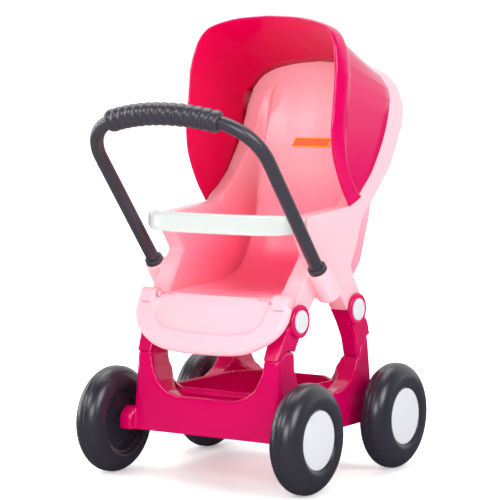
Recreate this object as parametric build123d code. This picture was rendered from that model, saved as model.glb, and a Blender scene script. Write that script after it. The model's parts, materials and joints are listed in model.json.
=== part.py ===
from build123d import *
# Doll stroller: moulded seat with a fixed hood, push handle, footrest, storage basket and four wheels.
#
# Millimetres. X is across the stroller, -Y is the handle and footrest side, +Z is up, and Z = 0 is the floor.
# Shapes are drawn about the middle of the wheelbase and moved by frame_shift at the end, so that the origin
# lies on the floor below the middle of the whole stroller. Left is -X and right is +X.
import math
import os

# Wheels and axles
wheel_radius = 64.0
wheel_width = 37.0
wheel_middle_x = 136.0
half_wheelbase = 101.5
tread_round = 16.0
hub_cap_radius = 34.5
axle_radius = 3.0
running_gap = 0.08

# Lower frame
base_half_width = 106.0
base_half_length = 112.0
base_bottom = 55.0
leg_top = 161.0
ledge_height = 99.5
base_taper = 4.2
wall = 3.0
leg_inner_x = 79.0

# Basket
basket_half_width = 76.0
basket_half_length = 86.0
basket_corner = 26.0
basket_floor = 60.0
basket_rim = 108.5
basket_lip = 3.0

# Upper legs and their pins
front_pin = (-69.0, 193.5)
rear_pin = (62.5, 195.5)
leg_disc_radius = 19.6
leg_disc_outer_x = 109.0
pin_head_radius = 13.4
pin_shank_radius = 4.0

# Seat
seat_half_width = 104.0
bucket_half_width = 79.0
seat_top = 497.0
seat_corner_radius = 62.0

# Hood
hood_half_width = 107.0
hood_inner_half_width = 104.4
rim_half_width = 109.5
rim_top = 549.0
rim_depth = 22.0
hood_slope = 0.41

# Handle
handle_x = 116.0
handle_foot = (-45.0, 251.5)
handle_angle = 50.5
tube_radius = 8.0
tube_bore = 6.0
grip_radius = 13.2
grip_half_chord = 75.0
grip_arc_radius = 240.0
straight_length = 167.4

# Footrest
hinge_y = -84.5
hinge_z = 216.7
footrest_slope = 63.0
hinge_pin_radius = 3.0
barrel_radius = 8.0
barrel_outer_x = 104.0
lug_radius = 5.0
lug_inner_x = 77.4
lug_outer_x = 82.0

# Bumper
bumper_height = 24.0
bumper_middle_z = 303.0

small = 0.3
frame_shift = 12.93


def slab(points, x_from, x_to):
    """A side outline of (y, z) points, as thick as the span from x_from to x_to."""
    outline = Polyline(*[(x_from, y, z) for y, z in points], close=True)
    return extrude(make_face(outline), amount=x_to - x_from, dir=(1, 0, 0))


def cross_slab(points, y_from, y_to):
    """A front outline of (x, z) points, as deep as the span from y_from to y_to."""
    outline = Polyline(*[(x, y_from, z) for x, z in points], close=True)
    return extrude(make_face(outline), amount=y_to - y_from, dir=(0, 1, 0))


def rod(radius, x_from, x_to, y, z):
    """A round bar along X."""
    bar = Cylinder(radius, x_to - x_from, rotation=(0, 90, 0))
    return Pos((x_from + x_to) / 2, y, z) * bar


def both_sides(shape):
    return shape + mirror(shape, Plane.YZ)


# ---------------------------------------------------------------- wheels

def wheel():
    """A right-hand wheel about its own centre: rounded tyre, web, hub, and a seat for the hub cap."""
    half = wheel_width / 2
    outline = [
        (half, 37.0), (half, wheel_radius), (-half, wheel_radius), (-half, 41.0),
        (-half + 4.5, 41.0), (-half + 4.5, 37.0), (-6.0, 37.0), (-6.0, 9.5),
        (-half + small, 9.5), (-half + small, axle_radius + running_gap),
        (6.0, axle_radius + running_gap), (6.0, 9.5), (-2.0, 9.5), (-2.0, 31.0),
        (13.0, 31.0), (13.0, hub_cap_radius + 0.1), (16.0, hub_cap_radius + 0.1), (16.0, 36.0)]
    section = make_face(Polyline(*outline, close=True))
    corners = section.vertices()
    tread = [v for v in corners if v.Y > wheel_radius - 0.1]
    section = fillet(tread, tread_round)
    shoulders = [v for v in section.vertices() if abs(v.Y - 41.0) < 0.1 and v.X < -half + 0.1]
    section = fillet(shoulders, 3.0)
    hollow = Polyline((-15.0, 44.5), (-15.0, 51.0), (-8.0, 60.0), (8.0, 60.0), (15.0, 51.0), (15.0, 40.0),
                      (-2.0, 40.0), (-2.0, 44.5), close=True)
    return revolve(section - make_face(hollow), axis=Axis.X)


def hub_cap():
    """The round cap that closes the wheel's outer face, with a short skirt that snaps into it."""
    plate = rod(hub_cap_radius, 13.0, 16.4, 0, 0)
    plate = fillet(plate.edges().filter_by(GeomType.CIRCLE).sort_by(Axis.X)[-1], 1.4)
    skirt = rod(30.9, 8.5, 13.0, 0, 0) - rod(28.9, 8.0, 13.0, 0, 0)
    return plate + skirt


def retainer():
    """A push-on cap that keeps a wheel on its axle."""
    return rod(7.0, 6.6, 11.0, 0, 0) - rod(axle_radius + 0.02, 6.0, 10.0, 0, 0)


def placed(shape, side, y):
    """Put a right-hand wheel piece at one corner; side is +1 on the right and -1 on the left."""
    shape = shape if side > 0 else mirror(shape, Plane.YZ)
    return Pos(side * wheel_middle_x, y, wheel_radius) * shape


def axle(y):
    reach = wheel_middle_x + 9.9
    return rod(axle_radius, -reach, reach, y, wheel_radius)


# ---------------------------------------------------------------- lower frame

front_seam = [(-118, 149.0), (-104, 149.5), (-99, 152.5), (-93, 157.5), (-84, 160.3), (-75, 159.0), (-60, 154.0)]
rear_seam = [(60, 135.0), (79, 135.5), (83, 142.0), (88, 151.0), (96, 158.0), (106, 161.0), (120, 162.0)]
leg_window = [(-79, 200), (-79, 146), (-76, 130), (-68, 115), (-55, 104.5), (-38, 99.5),
              (38, 99.5), (55, 104.5), (68, 115), (76, 130), (79, 146), (79, 200)]
side_window = [(-68, 200), (-68, 150), (-69, 138), (-64, 121), (-54, 109), (-40, 101.5), (-26, 99.5),
               (26, 99.5), (40, 101.5), (56, 109), (68, 121), (76, 138), (76, 200)]


def octagon(half_x, half_y, corner, z_from, z_to):
    points = [(half_x, corner - half_y), (half_x, half_y - corner), (half_x - corner, half_y),
              (corner - half_x, half_y), (-half_x, half_y - corner), (-half_x, corner - half_y),
              (corner - half_x, -half_y), (half_x - corner, -half_y)]
    outline = Polyline(*[(x, y, z_from) for x, y in points], close=True)
    return extrude(make_face(outline), amount=z_to - z_from)


def tapered_block(inset, z_from, z_to):
    """The frame's outer block, drawn in by the inset, and leaning inwards as it rises."""
    lean = math.tan(math.radians(base_taper)) * (z_from - base_bottom)
    plate = RectangleRounded(2 * (base_half_width - inset - lean), 2 * (base_half_length - inset - lean),
                             12.0 - inset)
    return extrude(Pos(0, 0, z_from) * plate, amount=z_to - z_from, taper=base_taper)


def leg_socket(y_middle, z_bottom):
    """The pocket in a lower leg that the upper leg's spigot drops into."""
    return Pos(89.0, y_middle, (z_bottom + 170) / 2) * Box(11.4, 20.4, 170 - z_bottom)


def chassis_base():
    body = tapered_block(0.0, base_bottom, 163.0)
    body -= cross_slab(leg_window, -150, 150)
    body -= slab(side_window, -150, 150)
    body -= slab(front_seam + [(-60, 200), (-118, 200)], -150, 150)
    body -= slab(rear_seam + [(120, 200), (60, 200)], -150, 150)
    body -= tapered_block(wall, base_bottom, ledge_height - wall)
    body -= octagon(basket_half_width + small, basket_half_length + small, basket_corner, 80, 130)
    body -= octagon(basket_half_width + basket_lip + small, basket_half_length + basket_lip + small,
                    basket_corner + 1, ledge_height, 170)
    body -= both_sides(leg_socket(-87.0, 122.0) + leg_socket(90.0, 112.0))
    for y in (-half_wheelbase, half_wheelbase):
        outer_boss = rod(18.5, base_half_width - wall - 4.0, 116.2, y, wheel_radius)
        inner_web = Pos(88, y, 76) * Box(8, 12, 42)
        body += both_sides(outer_boss + inner_web)
    body -= Pos(0, 0, base_bottom - 20) * Box(300, 300, 40)
    for y in (-half_wheelbase, half_wheelbase):
        body -= rod(axle_radius, -140, 140, y, wheel_radius)
    return body


def storage_basket():
    tub = octagon(basket_half_width, basket_half_length, basket_corner, basket_floor, basket_rim)
    tub -= octagon(basket_half_width - 2.5, basket_half_length - 2.5, basket_corner - 1.0,
                   basket_floor + 2.5, basket_rim + 1)
    lip = octagon(basket_half_width + basket_lip, basket_half_length + basket_lip, basket_corner + 1,
                  ledge_height, ledge_height + 2)
    lip -= octagon(basket_half_width - 1, basket_half_length - 1, basket_corner, ledge_height - 1,
                   ledge_height + 3)
    return tub + lip


# ---------------------------------------------------------------- upper legs

front_leg_end = [(-83, 197.0), (-79, 184.0), (-66, 179.5), (-57, 184.5), (-50, 197.0)]
rear_leg_end = [(43.7, 197.0), (57, 185.0), (66, 181.5), (77, 187.0), (81, 197.0)]
front_leg_front = [(-106.0, 149.8), (-97.5, 166.0), (-88.0, 190.0)]
front_leg_back = [(-56.0, 183.5), (-60.5, 174.0), (-68.0, 157.2)]
rear_leg_front = [(76.5, 137.0), (70.0, 159.0), (58.5, 178.0), (47.0, 193.0)]
rear_leg_back = [(80.5, 190.5), (97.0, 177.0), (105.0, 161.5)]


def lowered(points, drop):
    return [(y, z - drop) for y, z in points]


def raised(points, lift):
    return [(y, z + lift) for y, z in points]


def upper_leg(outline, seam, tongue, pin, spigot_y, spigot_z):
    """One right-hand upper leg: a leaning box with a round disc at the top and plugs at both ends."""
    y_pin, z_pin = pin
    body = slab(outline, leg_inner_x, seat_half_width)
    lean = [(leg_inner_x, 120), (96.5, 120), (98.6, 150), (104.0, 192), (104.0, 220), (leg_inner_x, 220)]
    body &= cross_slab(lean, -150, 150)
    disc = rod(leg_disc_radius, seat_half_width + 0.2, leg_disc_outer_x, y_pin, z_pin)
    disc = fillet(disc.edges().filter_by(GeomType.CIRCLE).sort_by(Axis.X)[-1], 1.5)
    shoulder = rod(leg_disc_radius - 1.6, 96.0, seat_half_width + 0.3, y_pin, z_pin)
    shoulder &= slab(outline, 90.0, 110.0)
    plug = slab(tongue, 84.0, 99.0)
    spigot = Pos(89.0, spigot_y, (spigot_z + 170) / 2 - 8) * Box(11.0, 20.0, 170 - spigot_z - 16)
    spigot &= slab(lowered(seam, 0.5) + [(seam[-1][0], 100), (seam[0][0], 100)], 0, 150)
    overlap = slab(raised(seam, 3.0) + [(seam[-1][0], 130), (seam[0][0], 130)], 0, 150)
    neck = Pos(89.0, spigot_y, 158) * Box(11.0, 20.0, 30)
    neck &= overlap
    body += disc + shoulder + plug + spigot + neck
    body -= rod(pin_head_radius + 0.1, leg_disc_outer_x - 2.6, 120, y_pin, z_pin)
    body -= rod(pin_shank_radius + 0.1, 83, 120, y_pin, z_pin)
    return body


def front_leg():
    outline = (raised(front_seam[1:-1], 0.3) + front_leg_back[::-1]
               + lowered(front_leg_end[::-1], 0.4)[1:-1] + front_leg_front[::-1])
    tongue = [(-78, 176), (-60, 176), (-50, 210), (-68, 210)]
    return upper_leg(outline, front_seam, tongue, front_pin, -87.0, 126.0)


def rear_leg():
    outline = (raised(rear_seam[1:-1], 0.3) + rear_leg_back[::-1]
               + lowered(rear_leg_end[-2::-1], 0.4) + rear_leg_front[::-1])
    tongue = [(56, 176), (74, 176), (64, 212), (46, 212)]
    return upper_leg(outline, rear_seam, tongue, rear_pin, 90.0, 116.0)


def leg_pin(pin):
    """A snap pin: a broad round head in the disc's recess and a shank through the seat's wall."""
    y_pin, z_pin = pin
    head = rod(pin_head_radius, leg_disc_outer_x - 2.6, leg_disc_outer_x + 0.9, y_pin, z_pin)
    head = fillet(head.edges().filter_by(GeomType.CIRCLE).sort_by(Axis.X)[-1], 1.0)
    return head + rod(pin_shank_radius, 86, leg_disc_outer_x - 2.6, y_pin, z_pin)


# ---------------------------------------------------------------- seat

border = [(49, 321), (72, 338), (95, 357), (121, 391), (133, 415), (142, 441), (148, 465), (151, 497)]
arm_front = [(-33, 268), (-49, 290), (-50.5, 314)]
flange = [(-34, 264), (-67, 222), (-83, 201)]
seat_rear = [(74, 216), (52, 247.6), (68, 276.5), (78, 302.5), (118, 337), (146, 363), (173, 408),
             (181, 425), (182.5, 441), (179, 460), (170, 480), (160, 493), (151, 497)]
arch = [(-33, 215), (-24, 224), (-8, 229), (8, 228), (21.5, 221.5)]
pan_and_back = [(-75, 219), (-9, 221), (42, 224), (66, 230), (84, 242), (95, 257), (104, 278), (114, 300),
                (121, 340), (128, 382), (140, 432), (146, 464), (151, 497)]

wing_root = [(118.5, 321), (121, 340), (124, 357), (129.5, 391), (136, 415), (142, 441), (146, 464), (151, 497)]


def seat_outline():
    return (flange + front_leg_end + arch + rear_leg_end + seat_rear[:-1] + border[::-1] + arm_front[::-1])


def rounded_top(half_width, top, radius):
    """The seat's and hood's front outline: straight sides and a top with broad round corners."""
    points = [(half_width, 150), (half_width, top - radius)]
    steps = 10
    for step in range(1, steps):
        angle = math.radians(90.0 * step / steps)
        points.append((half_width - radius + radius * math.cos(angle), top - radius + radius * math.sin(angle)))
    points.append((half_width - radius, top))
    return points + [(-x, z) for x, z in points[::-1]]


def moved_back(points, distance):
    return [(y + distance, z) for y, z in points]


def seat_body():
    body = slab(seat_outline(), -seat_half_width, seat_half_width)
    body &= cross_slab(rounded_top(seat_half_width, seat_top, seat_corner_radius), -150, 250)
    shell = [(-80, 213.5), (-9, 216.5), (44, 219.5), (68, 226), (87, 239), (98.5, 255), (107.5, 277),
             (117.5, 300), (124.5, 340), (100, 345), (40, 300), (-60, 222)]
    return body + slab(shell, -bucket_half_width - wall, bucket_half_width + wall)


def seat_cavity():
    """Everything in front of the pan and back: the bucket, and the wings that open out to the hood."""
    lower = [(-130, 219)] + pan_and_back[:8] + [(117.6, 321), (-130, 321)]
    upper = [(-130, 320)] + [(118.5, 320)] + pan_and_back[8:] + [(151, 560), (-130, 560)]
    cavity = slab(lower, -bucket_half_width, bucket_half_width)
    cavity += slab(upper, -72, 72)
    in_front = [(151, 560), (-130, 560), (-130, 321)]
    near = Polyline(*[(71.9, y, z) for y, z in wing_root + in_front], close=True)
    far = Polyline(*[(101.0, y, z) for y, z in border + in_front], close=True)
    wing = loft([make_face(near), make_face(far)], ruled=True)
    wing &= cross_slab(rounded_top(101.0, seat_top - wall, seat_corner_radius - wall), -150, 250)
    return cavity + both_sides(wing)


def seat_hollows():
    """The moulding's open back, and the hollow arms that open at the ends of the four seat legs."""
    behind = moved_back(pan_and_back[2:], 3.3)
    lip = [(176, 441), (173, 458), (165, 476), (156, 490)]
    centre = behind[:-1] + lip[::-1] + [(176, 420), (260, 400), (260, 150), (44, 150)]
    back = slab(centre, -bucket_half_width + wall, bucket_half_width - wall)
    back += slab([(-70, 214), (44, 217), (44, 150), (-70, 150)], -bucket_half_width, bucket_half_width)
    opening = lip[::-1] + [(176, 420), (260, 400), (260, 321)]
    inner_edge = [(71.9, y, z) for y, z in moved_back(wing_root, 3.3)[:-1] + opening]
    outer_edge = [(101.0, y, z) for y, z in moved_back(border, 3.3)[:-1] + opening]
    behind_wing = loft([make_face(Polyline(*inner_edge, close=True)),
                        make_face(Polyline(*outer_edge, close=True))], ruled=True)
    behind_wing &= cross_slab(rounded_top(101.0, seat_top - wall, seat_corner_radius - wall), -150, 300)
    front_limb = [(-79, 170), (-79, 201), (-63.5, 221.5), (-30.5, 264), (-30, 269), (-46, 291), (-47.5, 311),
                  (49, 317.5), (64, 305), (65, 277), (49, 248), (36, 240), (30, 238), (-10, 233), (-28, 225),
                  (-51, 196), (-51, 170)]
    rear_limb = [(30, 238), (36, 240), (49, 247), (71, 215), (78, 196), (78, 170), (47, 170), (47, 197),
                 (23.5, 225)]
    arm = slab(front_limb, bucket_half_width + wall, seat_half_width - wall)
    arm += slab(rear_limb, bucket_half_width + wall, seat_half_width - wall)
    return back + both_sides(arm + behind_wing)


def handle_plane():
    """A plane whose local y runs up the handle's legs, with its origin between the two sleeve mouths."""
    angle = math.radians(handle_angle)
    normal = (0, -math.sin(angle), -math.cos(angle))
    return Plane(origin=(0, handle_foot[0], handle_foot[1]), x_dir=(1, 0, 0), z_dir=normal)


def along_handle(shape, distance):
    """Lay a piece that was made along Z on the right handle leg's line, at a distance up from the mouth."""
    up = Plane(origin=handle_plane().from_local_coords(Vector(handle_x, distance, 0)),
               x_dir=(1, 0, 0), z_dir=handle_plane().y_dir)
    return up * shape


def sleeve():
    return along_handle(Cone(14.5, 12.7, 41, align=(Align.CENTER, Align.CENTER, Align.MAX)), 0)


def sleeve_bore():
    return along_handle(Cylinder(tube_radius + 0.1, 38, align=(Align.CENTER, Align.CENTER, Align.MAX)), 1)


def hinge_lug():
    """The small ear under the front lip of the seat pan that carries the footrest's pin."""
    ear = rod(lug_radius, lug_inner_x, lug_outer_x, hinge_y, hinge_z)
    neck = [(hinge_y, hinge_z - lug_radius), (-74, hinge_z - lug_radius), (-74, 218.8), (hinge_y, hinge_z + 3)]
    return ear + slab(neck, lug_inner_x, lug_outer_x)


def seat_shell():
    body = seat_body()
    body += both_sides(sleeve())
    body -= seat_cavity()
    body -= seat_hollows()
    body -= both_sides(sleeve_bore())
    body += both_sides(hinge_lug())
    body -= both_sides(rod(hinge_pin_radius, 70, 90, hinge_y, hinge_z))
    peg_hole = Pos(93, -40, bumper_middle_z) * Cylinder(5.2, 40, rotation=(90, 0, 0))
    body -= both_sides(peg_hole)
    for y_pin, z_pin in (front_pin, rear_pin):
        body -= both_sides(rod(pin_shank_radius + 0.1, 99, 110, y_pin, z_pin))
    return body


# ---------------------------------------------------------------- hood

rim_front = [(49, 322), (36, 335), (27, 348), (17, 366), (10, 382), (6.5, 400), (6, 415), (8, 435),
             (12, 460), (18, 490), (24, 520), (28, 560)]


def sloped_prism(half_width, top, radius, y_from, y_to):
    """The hood's front outline carried backwards along a falling line."""
    outline = Polyline(*[(x, y_from, z) for x, z in rounded_top(half_width, top, radius)], close=True)
    depth = y_to - y_from
    drop = depth * hood_slope
    return extrude(make_face(outline), amount=math.hypot(depth, drop), dir=(0, depth, -drop))


def canopy_shell():
    start = 28.0
    front = -4.0
    lift = (start - front) * hood_slope
    panel = sloped_prism(hood_half_width, rim_top - 2.5 + lift, 62.0, front, 190)
    band = sloped_prism(rim_half_width, rim_top + lift, 64.5, front, 80)
    hollow = sloped_prism(hood_inner_half_width, rim_top - 5.1 + lift + 5 * hood_slope, 59.4, front - 5, 195)
    edge = moved_back(border, -small)
    side = rim_front + [(150.7, 560)] + edge[::-1]
    rim_side = rim_front + moved_back(rim_front, rim_depth)[::-1][:-2] + [(62, 331)]
    hood = (panel & slab(side, -120, 120)) + (band & slab(rim_side, -120, 120) & slab(side, -120, 120))
    return hood - hollow


def back_label():
    """A plain label on the seat's back."""
    lean = math.degrees(math.atan2(12.0, 50.0))
    plate = Box(52, 0.5, 12)
    return Pos(0, 130.0, 393) * Rot(-lean, 0, 0) * plate


# ---------------------------------------------------------------- handle

def handle_path(start, grip_only):
    """The tube's centre line: up one leg, round two bends and over the arched grip."""
    turn = math.asin(grip_half_chord / grip_arc_radius)
    bend = math.radians(90) - turn
    bend_radius = (handle_x - grip_half_chord) / (1 - math.cos(bend))
    bend_top = straight_length + bend_radius * math.sin(bend)
    crown = bend_top + grip_arc_radius * (1 - math.cos(turn))
    middle = bend / 2
    knee = (handle_x - bend_radius + bend_radius * math.cos(middle), straight_length + bend_radius * math.sin(middle))
    left_leg = Line((-handle_x, start), (-handle_x, straight_length))
    left_bend = ThreePointArc((-handle_x, straight_length), (-knee[0], knee[1]), (-grip_half_chord, bend_top))
    top = ThreePointArc((-grip_half_chord, bend_top), (0, crown), (grip_half_chord, bend_top))
    right_bend = ThreePointArc((grip_half_chord, bend_top), knee, (handle_x, straight_length))
    right_leg = Line((handle_x, straight_length), (handle_x, start))
    if grip_only:
        return handle_plane() * top
    return handle_plane() * (left_leg + left_bend + top + right_bend + right_leg)


def swept(section, path):
    start = Plane(origin=path @ 0, z_dir=path % 0)
    return sweep(start * section, path=path)


def handle_tube():
    path = handle_path(-36.0, False)
    return swept(Circle(tube_radius) - Circle(tube_bore), path)


def handle_grip():
    path = handle_path(0, True)
    return swept(Circle(grip_radius) - Circle(tube_radius + 0.02), path)


def handle_collar():
    ring = Cylinder(11.2, 5.5, align=(Align.CENTER, Align.CENTER, Align.MIN))
    ring = fillet(ring.edges().sort_by(Axis.Z)[-1], 1.5)
    ring -= Cylinder(tube_radius + 0.02, 20)
    return along_handle(ring, 0.2)


# ---------------------------------------------------------------- bumper and footrest

def bumper_bar():
    ends = [(92, -85.5), (101, -79), (104, -70), (104, -56), (96, -56), (95, -68), (90, -75)]
    right = Polyline(*ends)
    left = Polyline(*[(-x, y) for x, y in ends])
    front_arc = ThreePointArc((-92, -85.5), (0, -99), (92, -85.5))
    back_arc = ThreePointArc((90, -75), (0, -88), (-90, -75))
    outline = make_face(front_arc + right + back_arc + left)
    bar = extrude(Pos(0, 0, bumper_middle_z - bumper_height / 2) * outline, amount=bumper_height)
    bar = fillet(bar.edges().filter_by(lambda e: e.length > 100), 3.0)
    block = Pos(93, -58.5, bumper_middle_z) * Box(20, 14.4, 16)
    peg = Pos(93, -45, bumper_middle_z) * Cylinder(5.0, 22, rotation=(90, 0, 0))
    return bar + both_sides(block + peg)


def footrest_plane():
    slope = math.radians(footrest_slope)
    return Plane(origin=(0, hinge_y, hinge_z), x_dir=(1, 0, 0), z_dir=(0, -math.sin(slope), math.cos(slope)))


def half_round(points, top):
    """A face with a straight top edge and a mirrored curve below it; points run down the right side."""
    left = [(-x, y) for x, y in points[::-1]]
    curve = Spline(*(points + left[1:]))
    sides = Polyline(left[-1], (left[-1][0], top), (points[0][0], top), points[0])
    return make_face(curve + sides)


def footrest():
    outer = half_round([(107, -16), (105, -30), (98, -43), (86, -54), (66, -65), (38, -70.5), (0, -71.5)], -7.0)
    inner = half_round([(78, -14), (75.5, -27), (67, -38), (50, -44.5), (26, -47), (0, -47.5)], 4.0)
    under = half_round([(101, -16), (99, -28), (92, -40), (81, -49), (62, -59), (36, -65), (0, -66)], -12.0)
    pad = extrude(Pos(0, 0, -5) * outer, amount=11)
    pad = fillet(pad.edges().filter_by(lambda e: e.length > 150), 4.5)
    bridge = Pos(0, -4, 0) * Box(2 * lug_outer_x + 2, 12, 10)
    pad += bridge
    pad -= extrude(Pos(0, 0, 3.0) * inner, amount=10)
    pad -= extrude(Pos(0, 0, -9) * under, amount=7.0)
    reach = barrel_outer_x - lug_outer_x - small
    barrel = Pos(barrel_outer_x - reach / 2, 0, 0) * Cylinder(barrel_radius, reach, rotation=(0, 90, 0))
    barrel = fillet(barrel.edges().filter_by(GeomType.CIRCLE).sort_by(Axis.X)[-1], 2.0)
    arm = Pos(barrel_outer_x - reach / 2, -6, 1) * Box(reach, 12, 10)
    pocket = Pos((lug_inner_x + lug_outer_x) / 2, 0, 0) * Cylinder(lug_radius + small, 5.2, rotation=(0, 90, 0))
    pocket += Pos((lug_inner_x + lug_outer_x) / 2, 4, -4.5) * Box(5.2, 18.6, 19.6)
    bore = Pos(80, 0, 0) * Cylinder(hinge_pin_radius + running_gap, 42, rotation=(0, 90, 0))
    pad += both_sides(barrel + arm)
    pad -= both_sides(pocket + bore)
    pad = footrest_plane() * pad
    beside_disc = rod(leg_disc_radius + 0.8, seat_half_width - 0.4, 112, front_pin[0], front_pin[1])
    return pad - both_sides(beside_disc)


def footrest_pin():
    return rod(hinge_pin_radius, lug_inner_x, 100.5, hinge_y, hinge_z)


# ---------------------------------------------------------------- all parts

def add_pair(parts, name, right_hand):
    parts[name + "_right"] = right_hand
    parts[name + "_left"] = mirror(right_hand, Plane.YZ)


def stroller():
    parts = {
        "chassis_base": chassis_base(),
        "storage_basket": storage_basket(),
        "seat_shell": seat_shell(),
        "canopy_shell": canopy_shell(),
        "back_label": back_label(),
        "handle_tube": handle_tube(),
        "handle_grip": handle_grip(),
        "bumper_bar": bumper_bar(),
        "footrest": footrest(),
        "front_axle": axle(-half_wheelbase),
        "rear_axle": axle(half_wheelbase),
    }
    add_pair(parts, "leg_front", front_leg())
    add_pair(parts, "leg_rear", rear_leg())
    add_pair(parts, "leg_pin_front", leg_pin(front_pin))
    add_pair(parts, "leg_pin_rear", leg_pin(rear_pin))
    add_pair(parts, "handle_collar", handle_collar())
    add_pair(parts, "footrest_pin", footrest_pin())
    retainers = []
    for end, y in (("front", -half_wheelbase), ("rear", half_wheelbase)):
        for side_name, side in (("right", 1), ("left", -1)):
            parts[f"wheel_{end}_{side_name}"] = placed(wheel(), side, y)
            parts[f"hub_cap_{end}_{side_name}"] = placed(hub_cap(), side, y)
            retainers.append(placed(retainer(), side, y))
    parts["axle_retainers"] = Compound(children=retainers)
    return parts


os.makedirs("parts", exist_ok=True)
for node, shape in stroller().items():
    export_step(Pos(0, frame_shift, 0) * shape, f"parts/{node}.step")
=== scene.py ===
import json
import math
import bmesh
import bpy
import numpy as np
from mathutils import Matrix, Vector


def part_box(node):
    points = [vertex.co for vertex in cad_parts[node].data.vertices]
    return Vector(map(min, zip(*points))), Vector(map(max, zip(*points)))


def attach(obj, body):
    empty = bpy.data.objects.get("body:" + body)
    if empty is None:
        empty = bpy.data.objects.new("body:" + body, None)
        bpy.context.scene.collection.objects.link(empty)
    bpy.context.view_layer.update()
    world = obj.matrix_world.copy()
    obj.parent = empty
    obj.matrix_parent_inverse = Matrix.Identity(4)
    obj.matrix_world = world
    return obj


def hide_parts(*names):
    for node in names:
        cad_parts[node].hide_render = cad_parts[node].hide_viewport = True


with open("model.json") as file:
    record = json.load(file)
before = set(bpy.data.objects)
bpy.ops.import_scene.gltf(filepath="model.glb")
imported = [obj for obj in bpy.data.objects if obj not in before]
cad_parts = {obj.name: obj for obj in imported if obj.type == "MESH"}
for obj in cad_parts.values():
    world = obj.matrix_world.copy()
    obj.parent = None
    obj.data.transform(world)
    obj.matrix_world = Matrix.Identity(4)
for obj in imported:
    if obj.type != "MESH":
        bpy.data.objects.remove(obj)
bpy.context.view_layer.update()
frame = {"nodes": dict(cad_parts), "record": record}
mm = 0.001

# drawings are in millimetres about the middle of the wheelbase, which lies this far along Y
wheelbaseY = (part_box("front_axle")[0].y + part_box("rear_axle")[1].y) / 2


def placed(points):
    return [(x * mm, y * mm + wheelbaseY, z * mm) for x, y, z in points]


# small helpers for making meshes
def link(name, mesh):
    obj = bpy.data.objects.new(name, mesh)
    bpy.context.scene.collection.objects.link(obj)
    return obj


def meshFrom(name, verts, faces):
    mesh = bpy.data.meshes.new(name)
    mesh.from_pydata([tuple(v) for v in verts], [], faces)
    bm = bmesh.new()
    bm.from_mesh(mesh)
    bmesh.ops.remove_doubles(bm, verts=bm.verts, dist=1e-6)
    bmesh.ops.recalc_face_normals(bm, faces=bm.faces)
    bm.to_mesh(mesh)
    bm.free()
    return mesh


def shadeSmooth(mesh, angle):
    mesh.polygons.foreach_set("use_smooth", [True] * len(mesh.polygons))
    if angle < 180:
        mesh.set_sharp_from_angle(angle=math.radians(angle))


def finished(obj, material, body, replaced=(), angle=180):
    obj.data.name = obj.name
    obj.data.materials.clear()
    obj.data.materials.append(material)
    shadeSmooth(obj.data, angle)
    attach(obj, body)
    if replaced:
        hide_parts(*replaced)
    print("made", obj.name, len(obj.data.polygons))
    return obj


def bake(obj):
    # the modifiers' result becomes the object's own mesh
    graph = bpy.context.evaluated_depsgraph_get()
    mesh = bpy.data.meshes.new_from_object(obj.evaluated_get(graph))
    obj.modifiers.clear()
    obj.data = mesh
    return obj


def looseSolid(name, verts, faces):
    return link(name, meshFrom(name, placed(verts), faces))


def prism(outline, xFrom, xTo, outlineTo=None):
    # a side outline of (y, z) points carried across from xFrom to xTo
    n = len(outline)
    verts = [(xFrom, y, z) for y, z in outline] + [(xTo, y, z) for y, z in (outlineTo or outline)]
    faces = [tuple(range(n)), tuple(range(2 * n - 1, n - 1, -1))]
    faces += [(i, (i + 1) % n, n + (i + 1) % n, n + i) for i in range(n)]
    return verts, faces


def crossPrism(outline, yFrom, yTo):
    # a front outline of (x, z) points carried back from yFrom to yTo
    verts, faces = prism(outline, yFrom, yTo)
    return [(x, y, z) for y, x, z in verts], faces


def turned(profile, origin, axis, segments=64):
    # a closed lathe profile of (along, radius) points spun about a line
    axis = Vector(axis).normalized()
    side = axis.orthogonal().normalized()
    other = axis.cross(side)
    verts, faces = [], []
    count = len(profile)
    for step in range(segments):
        turn = 2 * math.pi * step / segments
        spoke = side * math.cos(turn) + other * math.sin(turn)
        verts += [tuple(Vector(origin) + axis * along + spoke * radius) for along, radius in profile]
        start, following = step * count, (step + 1) % segments * count
        faces += [(start + r, start + r + 1, following + r + 1, following + r) for r in range(count - 1)]
    return verts, faces


def carve(obj, tool, operation="DIFFERENCE"):
    cut = obj.modifiers.new("Cut", "BOOLEAN")
    cut.operation = operation
    cut.solver = "EXACT"
    cut.object = tool
    bake(obj)
    bpy.data.objects.remove(tool)


def rounded(obj, voxel, rounds, keep=1.0):
    # an even skin over a hard-edged solid, relaxed until the edges are as round as a moulding's
    remesh = obj.modifiers.new("Remesh", "REMESH")
    remesh.mode = "VOXEL"
    remesh.voxel_size = voxel * mm
    relax = obj.modifiers.new("Relax", "SMOOTH")
    relax.factor = 0.5
    relax.iterations = rounds
    if keep < 1:
        thin = obj.modifiers.new("Thin", "DECIMATE")
        thin.ratio = keep
    return bake(obj)


def cadCopy(name, node):
    mesh = frame["nodes"][node].data.copy()
    bm = bmesh.new()
    bm.from_mesh(mesh)
    bmesh.ops.remove_doubles(bm, verts=bm.verts, dist=2e-6)
    bm.to_mesh(mesh)
    bm.free()
    return link(name, mesh)


def through(points, at):
    # points on a smooth line that passes through every given point; at counts the spans
    pts = np.array(points, float)
    ends = np.vstack([2 * pts[0] - pts[1], pts, 2 * pts[-1] - pts[-2]])
    line = []
    for place in at:
        i = min(int(place), len(pts) - 2)
        t = place - i
        a, b, c, d = ends[i:i + 4]
        line.append(0.5 * (2 * b + (c - a) * t + (2 * a - 5 * b + 4 * c - d) * t ** 2
                           + (3 * b - a - 3 * c + d) * t ** 3))
    return np.array(line)


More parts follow.
